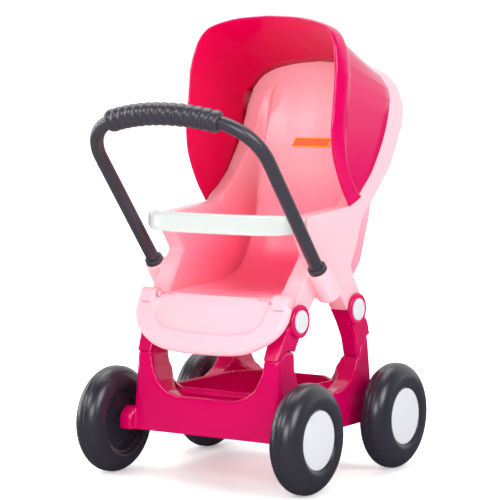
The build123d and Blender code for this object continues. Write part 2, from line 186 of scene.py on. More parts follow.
def smoothGrid(rows, perSpan):
    acrossAt = np.linspace(0, len(rows[0]) - 1, (len(rows[0]) - 1) * perSpan + 1)
    alongAt = np.linspace(0, len(rows) - 1, (len(rows) - 1) * perSpan + 1)
    across = np.array([through(row, acrossAt) for row in rows])
    return np.array([through(across[:, k], alongAt) for k in range(across.shape[1])]).transpose(1, 0, 2)


def mirroredGrid(grid):
    # columns run from the middle outwards; the result runs from one side to the other
    left = grid[:, :0:-1].copy()
    left[:, :, 0] *= -1
    return np.concatenate([left, grid], axis=1)


def gridFaces(rows, columns, start=0):
    corners = (0, 1, columns + 1, columns)
    return [tuple(start + r * columns + c + v for v in corners) for r in range(rows - 1) for c in range(columns - 1)]


def gridEdge(rows, columns):
    edge = list(range(columns)) + [r * columns + columns - 1 for r in range(1, rows)]
    edge += [(rows - 1) * columns + c for c in range(columns - 2, -1, -1)]
    return edge + [r * columns for r in range(rows - 2, 0, -1)]


def walled(name, outer, inner):
    # a closed wall between two grids of the same size
    rows, columns = outer.shape[:2]
    verts = [tuple(p) for p in outer.reshape(-1, 3)] + [tuple(p) for p in inner.reshape(-1, 3)]
    start = rows * columns
    faces = gridFaces(rows, columns) + gridFaces(rows, columns, start)
    edge = gridEdge(rows, columns)
    faces += [(a, b, start + b, start + a) for a, b in zip(edge, edge[1:] + edge[:1])]
    return looseSolid(name, verts, faces)


# moulded plastic: a colour that drifts a little, a gloss that varies, and a fine grain
def mouldedPlastic(name, colour, shade, rough, grain=0.02, grainSize=900, shine=0.5):
    material = bpy.data.materials.new(name)
    material.use_nodes = True
    nodes = material.node_tree.nodes
    links = material.node_tree.links
    shader = nodes["Principled BSDF"]
    shader.inputs["IOR"].default_value = 1.49
    shader.inputs["Specular IOR Level"].default_value = shine
    place = nodes.new("ShaderNodeTexCoord")
    cloud = nodes.new("ShaderNodeTexNoise")
    cloud.inputs["Scale"].default_value = 14
    cloud.inputs["Detail"].default_value = 4
    links.new(place.outputs["Object"], cloud.inputs["Vector"])
    tint = nodes.new("ShaderNodeMix")
    tint.data_type = "RGBA"
    tint.inputs["A"].default_value = (*colour, 1)
    tint.inputs["B"].default_value = (*shade, 1)
    links.new(cloud.outputs["Fac"], tint.inputs["Factor"])
    links.new(tint.outputs["Result"], shader.inputs["Base Color"])
    wear = nodes.new("ShaderNodeTexNoise")
    wear.inputs["Scale"].default_value = 22
    wear.inputs["Detail"].default_value = 3
    links.new(place.outputs["Object"], wear.inputs["Vector"])
    gloss = nodes.new("ShaderNodeMapRange")
    gloss.inputs["From Min"].default_value = 0.3
    gloss.inputs["From Max"].default_value = 0.7
    gloss.inputs["To Min"].default_value = rough * 0.92
    gloss.inputs["To Max"].default_value = rough * 1.1
    links.new(wear.outputs["Fac"], gloss.inputs["Value"])
    links.new(gloss.outputs["Result"], shader.inputs["Roughness"])
    fine = nodes.new("ShaderNodeTexNoise")
    fine.inputs["Scale"].default_value = grainSize
    fine.inputs["Detail"].default_value = 3
    links.new(place.outputs["Object"], fine.inputs["Vector"])
    bump = nodes.new("ShaderNodeBump")
    bump.inputs["Strength"].default_value = grain
    bump.inputs["Distance"].default_value = 0.0003
    links.new(fine.outputs["Fac"], bump.inputs["Height"])
    links.new(bump.outputs["Normal"], shader.inputs["Normal"])
    return material


seatPlastic = mouldedPlastic("seatPlastic", (0.93, 0.42, 0.48), (0.92, 0.40, 0.46), 0.30, grain=0.012)
raspberry, raspberryShade = (0.52, 0.0, 0.082), (0.49, 0.0, 0.076)
raspberryPlastic = mouldedPlastic("raspberryPlastic", raspberry, raspberryShade, 0.14, grain=0.01, shine=0.36)
hoodPlastic = mouldedPlastic("hoodPlastic", raspberry, raspberryShade, 0.14, grain=0.01, shine=0.4)
tyrePlastic = mouldedPlastic("tyrePlastic", (0.022, 0.020, 0.030), (0.018, 0.016, 0.025), 0.28)
handlePlastic = mouldedPlastic("handlePlastic", (0.034, 0.030, 0.041), (0.029, 0.026, 0.035), 0.30)
capPlastic = mouldedPlastic("capPlastic", (0.56, 0.575, 0.60), (0.545, 0.56, 0.585), 0.34)
bumperPlastic = mouldedPlastic("bumperPlastic", (0.53, 0.56, 0.54), (0.515, 0.545, 0.525), 0.22)
axleSteel = mouldedPlastic("axleSteel", (0.55, 0.55, 0.56), (0.48, 0.48, 0.50), 0.28)
axleSteel.node_tree.nodes["Principled BSDF"].inputs["Metallic"].default_value = 1.0
labelFilm = mouldedPlastic("labelFilm", (0.83, 0.13, 0.01), (0.79, 0.11, 0.01), 0.35)
labelEdge = mouldedPlastic("labelEdge", (0.90, 0.52, 0.02), (0.88, 0.48, 0.02), 0.35)


def paintBucketBounceLight(material, centre, reach, colour):
    # painted bounce light: the pink is painted deeper down in the bucket, standing in for light that has already met
    # the plastic and meets it again
    nodes, links = material.node_tree.nodes, material.node_tree.links
    shader = nodes["Principled BSDF"]
    place = nodes.new("ShaderNodeTexCoord")
    spot = nodes.new("ShaderNodeMapping")
    spot.vector_type = "TEXTURE"
    spot.inputs["Location"].default_value = placed([centre])[0]
    spot.inputs["Scale"].default_value = [r * mm for r in reach]
    ball = nodes.new("ShaderNodeTexGradient")
    ball.gradient_type = "SPHERICAL"
    split = nodes.new("ShaderNodeSeparateXYZ")
    distance = nodes.new("ShaderNodeMath")
    distance.operation = "ABSOLUTE"
    # the painted deeper pink fades out past the bucket's side walls
    inside = nodes.new("ShaderNodeMapRange")
    inside.interpolation_type = "SMOOTHSTEP"
    inside.inputs["From Min"].default_value = 0.079
    inside.inputs["From Max"].default_value = 0.090
    inside.inputs["To Min"].default_value = 1
    inside.inputs["To Max"].default_value = 0
    both = nodes.new("ShaderNodeMath")
    both.operation = "MULTIPLY"
    mix = nodes.new("ShaderNodeMix")
    mix.data_type = "RGBA"
    mix.inputs["B"].default_value = (*colour, 1)
    links.new(place.outputs["Object"], spot.inputs["Vector"])
    links.new(spot.outputs["Vector"], ball.inputs["Vector"])
    links.new(place.outputs["Object"], split.inputs["Vector"])
    links.new(split.outputs["X"], distance.inputs[0])
    links.new(distance.outputs["Value"], inside.inputs["Value"])
    links.new(ball.outputs["Fac"], both.inputs[0])
    links.new(inside.outputs["Result"], both.inputs[1])
    links.new(both.outputs["Value"], mix.inputs["Factor"])
    links.new(shader.inputs["Base Color"].links[0].from_socket, mix.inputs["A"])
    links.new(mix.outputs["Result"], shader.inputs["Base Color"])


# painted bounce light: a deeper pink painted into the seat's bucket
paintBucketBounceLight(seatPlastic, (0, 62, 252), (260, 172, 114), (1.0, 0.04, 0.185))


def paintInnerFaceBounceLight(material, centre, colour):
    # painted bounce light: the faces turned towards the centre are duller and painted a deeper red, standing in for the
    # light they throw at each other, since they mostly face each other
    nodes, links = material.node_tree.nodes, material.node_tree.links
    shader = nodes["Principled BSDF"]
    place = nodes.new("ShaderNodeTexCoord")
    away = nodes.new("ShaderNodeVectorMath")
    away.operation = "SUBTRACT"
    away.inputs[1].default_value = placed([centre])[0]
    facing = nodes.new("ShaderNodeVectorMath")
    facing.operation = "DOT_PRODUCT"
    inside = nodes.new("ShaderNodeMath")
    inside.operation = "LESS_THAN"
    inside.inputs[1].default_value = -0.01
    shine = nodes.new("ShaderNodeMapRange")
    shine.inputs["To Min"].default_value = shader.inputs["Specular IOR Level"].default_value
    shine.inputs["To Max"].default_value = 0.06
    mix = nodes.new("ShaderNodeMix")
    mix.data_type = "RGBA"
    mix.inputs["B"].default_value = (*colour, 1)
    links.new(place.outputs["Object"], away.inputs[0])
    links.new(away.outputs["Vector"], facing.inputs[0])
    links.new(place.outputs["Normal"], facing.inputs[1])
    links.new(facing.outputs["Value"], inside.inputs[0])
    links.new(inside.outputs["Value"], shine.inputs["Value"])
    links.new(shine.outputs["Result"], shader.inputs["Specular IOR Level"])
    links.new(inside.outputs["Value"], mix.inputs["Factor"])
    links.new(shader.inputs["Base Color"].links[0].from_socket, mix.inputs["A"])
    links.new(mix.outputs["Result"], shader.inputs["Base Color"])


# painted bounce light: a deeper red painted onto the hood's inner faces
paintInnerFaceBounceLight(hoodPlastic, (0, 70, 415), (0.62, 0.0, 0.062))
print("materials made")

slotMaterials = {"seat_pink": seatPlastic, "raspberry": raspberryPlastic, "tyre_grey": tyrePlastic,
                 "handle_grey": handlePlastic, "cap_grey": capPlastic, "bumper_white": bumperPlastic,
                 "axle_steel": axleSteel, "label": labelFilm}
for part in frame["record"]["subparts"]:
    node = frame["nodes"][part["node"]]
    node.data.materials.clear()
    node.data.materials.append(slotMaterials[part["material_slot"]])


seat = {
    "halfWidth": 104, "legInner": 79, "voxel": 1.6, "rounds": 5, "keep": 0.6,
    "flange": [(-34, 264), (-67, 222), (-83, 201)],
    "frontLegEnd": [(-83, 197), (-79, 184), (-66, 179.5), (-57, 184.5), (-50, 197)],
    "arch": [(-33, 215), (-24, 224), (-8, 229), (8, 228), (21.5, 221.5)],
    "rearLegEnd": [(43.7, 197), (57, 185), (66, 181.5), (77, 187), (81, 197)],
    "rear": [(74, 216), (52, 247.6), (68, 276.5), (78, 302.5), (91, 314), (118, 337), (146, 363), (160, 384),
             (173, 408), (181, 425), (182.5, 441), (179, 460), (170, 478), (160, 491), (151, 498.4)],
    "border": [(49, 321), (72, 338), (95, 357), (121, 391), (133, 415), (142, 441), (148, 465), (151, 498.4)],
    "armFront": [(-33, 268), (-49, 290), (-50.5, 313)],
    "front": [(104, 150), (104, 420), (102.5, 440), (97, 463), (86, 478), (65, 489.8), (35, 496), (0, 498.4)],
    "panHalf": 83,
    "pan": [(-80, 211.5), (-9, 211), (44, 213), (72, 220), (95, 232), (112, 248), (122, 274), (133, 300), (141, 340),
            (147, 382), (150, 410), (155, 432), (110, 432), (80, 345), (50, 300), (20, 238), (-75, 219)],
    "under": [(-95, 160), (-95, 211), (-74, 211.5), (-9, 211.5), (44, 213.5), (74, 221), (96, 233.5), (111, 250),
              (118, 276), (128, 300), (136, 340), (141, 382), (145.5, 410), (150, 432), (153, 452),
              (155, 470), (161, 480), (168, 466), (174, 441), (260, 420), (260, 160)],
    "wingNear": [(132, 321), (136, 340), (139, 360), (142, 385), (145.5, 410), (149.5, 432), (152.5, 452), (155, 466)],
    "wingFar": [(63, 325), (81, 341), (104, 360), (130, 391), (141.5, 415), (149, 440), (153.5, 458), (156, 468)],
    "wingBack": [(163, 474), (170, 458), (173, 441), (174, 420), (260, 400), (260, 321)],
    "wingInner": 78.9, "wingOuter": 100.3, "wingWall": 3.8,
    "sleeve": [(0, 0), (0, 12.7), (-41, 14.5), (-41, 0)],
    "bore": [(0, 0), (0, 8.6), (-38, 8.6), (-38, 0)],
    "earX": 79.7, "earHalf": 2.3, "earRadius": 5, "hinge": (-84.5, 216.7),
    "neck": [(-84.5, 211.7), (-74, 211.7), (-74, 218.8), (-84.5, 219.7)],
}
# one row per station from the front lip of the pan to the top of the back; each row runs outwards: two points on the
# panel, three over its raised edge, the valley beside it, three up the side, then both edges of the rim band
seatRows = [
    [(0, -75, 217.5), (40, -75, 218), (64, -75, 218.6), (69, -75, 218.8), (72.5, -75, 217.3), (77, -74, 216.6),
     (79.5, -53, 242), (82, -34.5, 265), (82.5, -42, 288), (84, -48, 313.5), (104, -51, 313.5)],
    [(0, -45, 217.2), (40, -45, 218.2), (64, -45, 220.6), (69, -45, 221.2), (72.5, -45, 218), (77, -44, 216.2),
     (79.5, -36, 240), (81, -25, 265), (82, -27, 290), (84, -26, 315), (104, -27, 315.5)],
    [(0, -9, 217.5), (40, -9, 219), (64, -9, 222), (69, -9, 222.8), (72.5, -9, 218.5), (77, -8, 216.2),
     (79.5, -7, 240), (81, -6, 266), (82, -4, 291), (84, -1, 316.5), (104, -2, 317.5)],
    [(0, 20, 218.5), (40, 20, 220.3), (64, 20, 223.4), (69, 20, 224.2), (72.5, 20, 219.5), (77, 20, 217),
     (79.5, 18, 241), (81, 17, 266), (82, 15, 291), (84, 14, 317.3), (104, 13, 318.5)],
    [(0, 43, 220.5), (40, 43, 222.5), (64, 42, 226), (69, 41.6, 227), (72.5, 43, 222), (77, 44, 219),
     (79.5, 39, 243), (81, 35, 268), (82, 31, 293), (84, 26, 318), (104, 25, 319.5)],
    [(0, 70, 227), (40, 69, 229), (64, 66, 232.5), (69, 65, 233.5), (72.5, 68, 228.5), (77, 70, 225),
     (79, 60, 246), (80.5, 52, 271), (82, 44, 295), (84, 36, 318.6), (104, 36, 320.3)],
    [(0, 90.5, 239.5), (40, 88.5, 241), (64, 82.5, 245), (69, 81.2, 246), (72.5, 86, 241.5), (77, 90, 238),
     (78.5, 76, 254), (80.5, 64, 276), (82, 53, 297), (84.5, 42, 319.3), (104, 42, 321)],
    [(0, 101.5, 253), (40, 99, 254.5), (64, 92, 258), (69, 90.5, 259), (72.5, 96, 255.5), (77, 101, 252),
     (78.5, 86, 265), (80, 72, 284), (82, 59, 302), (85, 47, 320.8), (103.5, 48, 322.5)],
    [(0, 109.5, 271), (40, 107, 272), (64, 100, 275), (69, 98.5, 275.6), (72.5, 104.5, 273.5), (77, 110, 271),
     (78, 95, 281), (80, 80, 296), (82.5, 65, 311), (86, 52, 325), (103, 56, 327.5)],
    [(0, 120.5, 299), (40, 118, 299.5), (64, 111.5, 301), (68.5, 110.5, 301.4), (72, 117, 300), (76.5, 122.5, 299),
     (78, 106, 306), (80.5, 90, 315), (83.5, 74, 325), (87, 59, 334.5), (102.5, 69, 337)],
    [(0, 127.5, 340), (40, 125.5, 340), (63.5, 119.5, 340), (68, 118.5, 340), (71, 125, 340), (75, 131, 340),
     (78.5, 118, 343), (82, 104, 348), (85.5, 91, 352), (89.5, 79.5, 356), (102, 89, 355)],
    [(0, 132, 382), (40, 130, 382), (63, 124.5, 382), (67.5, 123.7, 382), (70.5, 130, 382), (74.5, 135.5, 382),
     (78.5, 127.5, 382), (82.5, 118, 382), (86.5, 108, 382), (90.5, 99.5, 382), (101.5, 111, 381)],
    [(0, 137.5, 410), (40, 135.8, 410), (62.5, 131, 410), (66.5, 130.3, 410), (69.5, 135, 410), (73.5, 140.5, 410),
     (78, 136.5, 410), (82, 131, 410.5), (86, 125.5, 411), (90, 120.5, 411), (101.3, 129, 411)],
    [(0, 143.3, 432), (40, 142, 432), (62, 138.3, 432), (65.5, 137.8, 432), (68.5, 141.5, 432), (72.5, 145, 432),
     (77, 142.5, 432), (81, 139.5, 432), (85, 136.5, 432), (89, 133.5, 432), (101, 138.5, 432)],
    [(0, 146.7, 452), (40, 146, 452), (60, 143.4, 452), (63.5, 143.1, 452), (66.5, 145.2, 452), (70, 147.2, 452),
     (74, 146.2, 452), (78, 144.6, 452), (82, 143, 452), (86, 141.2, 452), (98.5, 144.8, 451)],
    [(0, 148.8, 468), (38, 148.4, 467), (54, 147, 465), (57.5, 146.9, 465), (60.5, 147.8, 465), (64, 148.4, 465),
     (69, 148, 465), (73, 147.5, 465.3), (78, 146.9, 465.6), (82.5, 146.3, 466), (94.5, 147.8, 464.5)],
    [(0, 149.3, 481), (34, 149.2, 479.5), (48, 148.7, 476.5), (52, 148.6, 475.8), (56, 148.8, 475.2), (60, 148.8, 475),
     (65, 148.8, 475), (69, 148.8, 475), (73.5, 148.8, 475.2), (78, 148.8, 475.5), (88.5, 149.4, 475)],
    [(0, 151, 498.4), (30, 151, 496.6), (44, 151, 493.3), (48, 151, 492.6), (52, 151, 491.8), (56, 151, 490.9),
     (61, 151, 489.7), (65, 151, 488.6), (69.5, 151, 487.3), (74, 151, 485.6), (80, 151, 482.5)],
]


# the far wall of the block that cuts the seat's room; with spread 1.25 and y -160 the cut fails and the block stays
# in as a solid, so look at the seat after a change here
farWall = {"rimX": 103, "rimSpread": 1.6, "spread": 1.3, "y": -190, "followY": 0.25, "lipY": -75,
           "z": 360, "followZ": 1.3, "lipZ": 217, "apex": (0, -240, 520)}


def seatRoom():
    # the room in front of and above the moulded surface, closed by a far wall
    half = smoothGrid(seatRows, 3)
    half[:, 0, 0] = 0
    grid = mirroredGrid(half)
    rows, columns = grid.shape[:2]
    verts = [tuple(p) for p in grid.reshape(-1, 3)]
    faces = gridFaces(rows, columns)
    edge = gridEdge(rows, columns)
    start = len(verts)
    wall = farWall
    for x, y, z in [verts[v] for v in edge]:
        spread = wall["rimSpread"] if abs(x) > wall["rimX"] else wall["spread"]
        verts.append((x * spread, wall["y"] + wall["followY"] * (y - wall["lipY"]),
                      wall["z"] + wall["followZ"] * (z - wall["lipZ"])))
    count = len(edge)
    faces += [(edge[i], edge[(i + 1) % count], start + (i + 1) % count, start + i) for i in range(count)]
    middle = len(verts)
    verts.append(wall["apex"])
    faces += [(start + i, start + (i + 1) % count, middle) for i in range(count)]
    return looseSolid("seatRoom", verts, faces)


def frontShape(name, inset):
    right = [(max(x - inset, 0), z - inset * (z > 430)) for x, z in seat["front"]]
    return looseSolid(name, *crossPrism(right + [(-x, z) for x, z in right[-2::-1]], -200, 320))


def handleLine(side, distance):
    # a point on the handle leg's middle line, so far up from the mouth of its sleeve, and the line's direction
    angle = math.radians(handle["angle"])
    up = (0, -math.cos(angle), math.sin(angle))
    foot = (side * handle["legX"], handle["foot"][0], handle["foot"][1])
    return [foot[i] + up[i] * distance for i in range(3)], up


def makeSeat():
    outline = (seat["flange"] + seat["frontLegEnd"] + seat["arch"] + seat["rearLegEnd"] + seat["rear"][:-1]
               + seat["border"][::-1] + seat["armFront"][::-1])
    solid = looseSolid("seatShell", *prism(outline, -seat["halfWidth"], seat["halfWidth"]))
    carve(solid, frontShape("seatFront", 0), "INTERSECT")
    carve(solid, looseSolid("seatPan", *prism(seat["pan"], -seat["panHalf"], seat["panHalf"])), "UNION")
    half = seat["earHalf"]
    for side in (-1, 1):
        mouth, up = handleLine(side, 0)
        carve(solid, looseSolid("sleeve", *turned(seat["sleeve"], mouth, up)), "UNION")
        ear = [(-half, 0), (-half, seat["earRadius"]), (half, seat["earRadius"]), (half, 0)]
        spot = (side * seat["earX"], *seat["hinge"])
        carve(solid, looseSolid("ear", *turned(ear, spot, (1, 0, 0), 32)), "UNION")
        carve(solid, looseSolid("neck", *prism(seat["neck"], spot[0] - half, spot[0] + half)), "UNION")
    carve(solid, looseSolid("seatUnder", *prism(seat["under"], -seat["legInner"], seat["legInner"])))
    for side in (-1, 1):
        wing = looseSolid("wingBack", *prism(seat["wingNear"] + seat["wingBack"], side * seat["wingInner"],
                                             side * seat["wingOuter"], seat["wingFar"] + seat["wingBack"]))
        carve(wing, frontShape("wingFront", seat["wingWall"]), "INTERSECT")
        carve(solid, wing)
        mouth, up = handleLine(side, 1)
        carve(solid, looseSolid("bore", *turned(seat["bore"], mouth, up, 48)))
    carve(solid, seatRoom())
    return rounded(solid, seat["voxel"], seat["rounds"], seat["keep"])


handle = {"legX": 116, "foot": (-45.0, 251.5), "angle": 50.5, "straight": 167.4,
          "halfGrip": 75.0, "gripArc": 240.0, "ribs": 14, "ribRadius": 13.2, "grooveRadius": 11.2}
finished(makeSeat(), seatPlastic, "frame", ["seat_shell"])


# the hood: a ruled shell between the front rim and the line where it meets the seat, with a raised lip on the rim
hood = {
    "wall": 2.6, "lipDepth": 22.4, "overlap": 1.6, "tuck": 5.5,
    "front": [(105.4, 47.5, 321), (105.4, 27, 348), (105.4, 10, 382), (105.4, 6, 412), (105.4, 9.6, 441),
              (105.4, 12.6, 464), (105.3, 14.3, 482), (103.0, 17.2, 499), (98.6, 21.5, 517), (90, 25, 530.8),
              (76.5, 27, 538.8), (44, 28, 546.2), (0, 28.5, 549.0)],
    "rear": [(106.0, 65, 332.5), (106.0, 76, 343), (106.0, 96, 360.5), (106.0, 119, 391), (106.0, 131.5, 415),
             (106.0, 137.5, 433), (105.4, 141.6, 447.5), (100.8, 145.2, 460.5), (88.5, 147.4, 475.5), (77, 148.6, 483.3),
             (65, 149.4, 488.6), (37.5, 150.2, 494), (0, 150.6, 497.2)],
    "crease": (6, 7),
    "lip": [(0, -1.7), (0.5, -0.6), (1.6, 0.3), (3.6, 1.2), (7, 2.2), (12, 3.5), (18.8, 5.0), (20.6, 5.0), (21.7, 3.8),
            (22.3, 0.2)],
    "inside": [-2.4, -3.3, -3.4, -3.1, -2.8],
}


def hoodLine(points):
    first, second = hood["crease"]
    nearCrease = [first - 0.2, first - 0.08, first - 0.03, first]
    low = through(points[:first + 1], list(np.linspace(0, first - 0.4, 44)) + nearCrease)
    band = through(points[first:second + 1], [0.06, 0.15, 0.5, 0.85, 0.94, 1])
    spans = len(points) - 1 - second
    high = through(points[second:], [0.04, 0.1, 0.2] + list(np.linspace(0.35, spans, 48)))
    return np.vstack([low, band, high])


def makeHood():
    front, rear = hoodLine(hood["front"]), hoodLine(hood["rear"])
    depth = np.linalg.norm(rear - front, axis=1)
    run = (rear - front) / depth[:, None]
    outward = np.cross(run, np.gradient(front, axis=0))
    outward /= np.linalg.norm(outward, axis=1, keepdims=True)
    outward *= np.sign(outward[:, 0:1] + outward[:, 2:3])
    outer, inner = [], []
    for i in range(len(front)):
        squeeze = min(1, depth[i] / (hood["lipDepth"] + 1.5))
        places = [(d * squeeze, lift) for d, lift in hood["lip"]]
        places += [(d, 0.0) for d in np.linspace(places[-1][0], depth[i] + hood["overlap"], 9)[1:]]
        outer.append([front[i] + run[i] * d + outward[i] * lift for d, lift in places])
        depths = hood["inside"] + [-hood["wall"]] * (len(places) - len(hood["inside"]))
        inner.append([front[i] + run[i] * d + outward[i] * sink for (d, lift), sink in zip(places, depths)])
        inner[-1][-1] = inner[-1][-1] + run[i] * hood["tuck"] - outward[i] * 0.3

    def bothSides(half):
        half = np.array(half)
        half[-1, :, 0] = 0
        left = half[:-1][::-1].copy()
        left[:, :, 0] *= -1
        return np.concatenate([half, left])
    return walled("hoodShell", bothSides(outer), bothSides(inner))


finished(makeHood(), hoodPlastic, "frame", ["canopy_shell"])


# the ribbed grip: an arc swept by a circle whose radius swells at every rib
def gripTree():
    tree = bpy.data.node_groups.new("ribbedGrip", "GeometryNodeTree")
    tree.interface.new_socket("Geometry", in_out="OUTPUT", socket_type="NodeSocketGeometry")
    for name, kind in (("Arc Radius", "NodeSocketFloat"), ("Start", "NodeSocketFloat"), ("Sweep", "NodeSocketFloat"),
                       ("Ribs", "NodeSocketInt"), ("Rib Radius", "NodeSocketFloat"), ("Groove Radius", "NodeSocketFloat"),
                       ("Centre", "NodeSocketVector"), ("Tilt", "NodeSocketVector"), ("Finish", "NodeSocketMaterial")):
        tree.interface.new_socket(name, in_out="INPUT", socket_type=kind)
    nodes, links = tree.nodes, tree.links
    given = nodes.new("NodeGroupInput").outputs
    arc = nodes.new("GeometryNodeCurveArc")
    arc.inputs["Resolution"].default_value = 336
    links.new(given["Arc Radius"], arc.inputs["Radius"])
    links.new(given["Start"], arc.inputs["Start Angle"])
    links.new(given["Sweep"], arc.inputs["Sweep Angle"])

    def figure(kind, first, second):
        node = nodes.new("ShaderNodeMath")
        node.operation = kind
        for socket, value in zip(node.inputs, (first, second)):
            if isinstance(value, (int, float)):
                socket.default_value = value
            elif value is not None:
                links.new(value, socket)
        return node.outputs[0]

    along = nodes.new("GeometryNodeSplineParameter").outputs["Factor"]
    phase = figure("FRACT", figure("MULTIPLY", along, given["Ribs"]), None)
    swell = figure("POWER", figure("SINE", figure("MULTIPLY", phase, math.pi), None), 0.6)
    rise = figure("MULTIPLY", swell, figure("SUBTRACT", given["Rib Radius"], given["Groove Radius"]))
    radius = nodes.new("GeometryNodeSetCurveRadius")
    links.new(arc.outputs["Curve"], radius.inputs["Curve"])
    links.new(figure("ADD", rise, given["Groove Radius"]), radius.inputs["Radius"])
    ring = nodes.new("GeometryNodeCurvePrimitiveCircle")
    ring.inputs["Resolution"].default_value = 48
    ring.inputs["Radius"].default_value = 1
    sweep = nodes.new("GeometryNodeCurveToMesh")
    links.new(radius.outputs["Curve"], sweep.inputs["Curve"])
    links.new(ring.outputs["Curve"], sweep.inputs["Profile Curve"])
    if "Scale" in sweep.inputs:
        links.new(figure("ADD", rise, given["Groove Radius"]), sweep.inputs["Scale"])
    sweep.inputs["Fill Caps"].default_value = True
    move = nodes.new("GeometryNodeTransform")
    links.new(sweep.outputs["Mesh"], move.inputs["Geometry"])
    links.new(given["Centre"], move.inputs["Translation"])
    links.new(given["Tilt"], move.inputs["Rotation"])
    real = nodes.new("GeometryNodeRealizeInstances")
    links.new(move.outputs["Geometry"], real.inputs["Geometry"])
    paint = nodes.new("GeometryNodeSetMaterial")
    links.new(real.outputs["Geometry"], paint.inputs["Geometry"])
    links.new(given["Finish"], paint.inputs["Material"])
    links.new(paint.outputs["Geometry"], nodes.new("NodeGroupOutput").inputs["Geometry"])
    return tree


def makeGrip():
    half = math.asin(handle["halfGrip"] / handle["gripArc"])
    bend = math.pi / 2 - half
    bendRadius = (handle["legX"] - handle["halfGrip"]) / (1 - math.cos(bend))
    crown = handle["straight"] + bendRadius * math.sin(bend) + handle["gripArc"] * (1 - math.cos(half))
    centre, up = handleLine(0, crown - handle["gripArc"])
    obj = link("ribbedGrip", bpy.data.meshes.new("ribbedGrip"))
    modifier = obj.modifiers.new("Ribs", "NODES")
    modifier.node_group = gripTree()
    values = {"Arc Radius": handle["gripArc"] * mm, "Start": math.pi / 2 - half, "Sweep": 2 * half,
              "Ribs": handle["ribs"],
              "Rib Radius": handle["ribRadius"] * mm, "Groove Radius": handle["grooveRadius"] * mm,
              "Centre": placed([centre])[0], "Tilt": (math.pi - math.radians(handle["angle"]), 0, 0),
              "Finish": handlePlastic}
    for item in modifier.node_group.interface.items_tree:
        if item.in_out == "INPUT":
            modifier[item.identifier] = values[item.name]
    return bake(obj)


finished(makeGrip(), handlePlastic, "frame", ["handle_grip"], 50)


# wheels: along is measured outwards from the middle of the tread
tyre = {"profile": [(13, 31), (13, 34.6), (15.9, 34.7), (16.4, 35.6), (17.4, 36.6), (18.2, 38.4), (18.5, 41),
                    (18.5, 44), (18.2, 47.4), (17.6, 50.6), (16.6, 53.6), (15.2, 56.2), (13.2, 58.7),
                    (10.8, 60.8), (8, 62.5), (5.4, 63.5), (3, 63.95), (1.6, 63.9), (0.8, 63.6), (0, 63.45),
                    (-0.8, 63.6), (-1.6, 63.9), (-3, 63.95), (-5.4, 63.5), (-8, 62.5), (-10.8, 60.8),
                    (-13.2, 58.7), (-15.2, 56.2), (-16.6, 53.6), (-17.6, 50.6), (-18.2, 47.4), (-18.45, 44.6),
                    (-18.3, 42.6), (-17.7, 41.5), (-16.6, 41), (-14.4, 40.8), (-14, 40.4), (-13.8, 37.6),
                    (-13.4, 37.1), (-7, 36.8), (-6.2, 36.2), (-6, 35), (-6, 10.4), (-6.3, 9.7), (-17.4, 9.3),
                    (-18.1, 8.8), (-18.2, 3.1), (6, 3.1), (6, 9.4), (-2, 9.6), (-2, 31), (13, 31)]}
cap = {"profile": [(8.5, 28.9), (8.5, 30.8), (13, 30.8), (13, 34.3), (15.4, 34.3), (15.9, 34.1), (16.3, 33.6),
                   (16.45, 32.8), (16.5, 30), (16.5, 0), (13.4, 0), (13, 28.9), (8.5, 28.9)]}
pinHead = {"profile": [(-3, 0), (-3, 13.3), (-0.9, 13.3), (-0.35, 13.0), (-0.05, 12.3), (0, 11), (0, 0)]}
for corner in ("front_left", "front_right", "rear_left", "rear_right"):
    side = 1 if corner.endswith("right") else -1
    low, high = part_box("wheel_" + corner)
    middle = [(low[i] + high[i]) / 2 / mm - (wheelbaseY / mm if i == 1 else 0) for i in range(3)]
    words = corner.split("_")
    name = words[0] + words[1].capitalize()
    wheelBody = "wheel_" + corner
    finished(looseSolid(name + "Tyre", *turned(tyre["profile"], middle, (side, 0, 0), 128)), tyrePlastic, wheelBody,
             ["wheel_" + corner], 35)
    finished(looseSolid(name + "Cap", *turned(cap["profile"], middle, (side, 0, 0), 96)), capPlastic, wheelBody,
             ["hub_cap_" + corner], 35)
    low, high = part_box("leg_pin_" + corner)
    outer = (high.x if side > 0 else low.x) / mm
    spot = (outer, (low.y + high.y) / 2 / mm - wheelbaseY / mm, (low.z + high.z) / 2 / mm)
    finished(looseSolid(name + "PinHead", *turned(pinHead["profile"], spot, (side, 0, 0), 72)), capPlastic, "frame",
             ["leg_pin_" + corner], 35)
    finished(rounded(cadCopy(name + "Leg", "leg_" + corner), 1.2, 5), raspberryPlastic, "frame",
             ["leg_" + corner])

for name, node, rounds in (("lowerFrame", "chassis_base", 8), ("basketTray", "storage_basket", 4)):
    finished(rounded(cadCopy(name, node), 1.7, rounds), raspberryPlastic, "frame", [node])


# the bumper: a soft rectangle swept along a bow, thinner and lower where it turns back to the arms
bumper = {"path": [(0, -93.6), (30, -92.3), (58, -89.2), (80, -84.4), (90, -80.8), (96.5, -76), (99.4, -70), (100, -63),
                   (100, -57.5)],
          "deep": [5.4, 5.4, 5.3, 5.2, 5.0, 4.8, 4.4, 4.1, 3.9], "tall": [12, 12, 12, 11.8, 11.4, 10.8, 10.0, 9.3, 8.9],
          "lift": [0, 0, 0, 0.1, 0.4, 0.8, 1.3, 1.7, 2.0], "z": 304.0, "power": 0.42, "around": 40,
          "block": [(-78, 297), (-51.5, 297), (-51.5, 312), (-78, 312)], "blockInner": 84, "blockOuter": 102.5,
          "peg": [(0, 0), (0, 5), (18, 5), (18, 0)], "pegSpot": (93, -52, 303)}


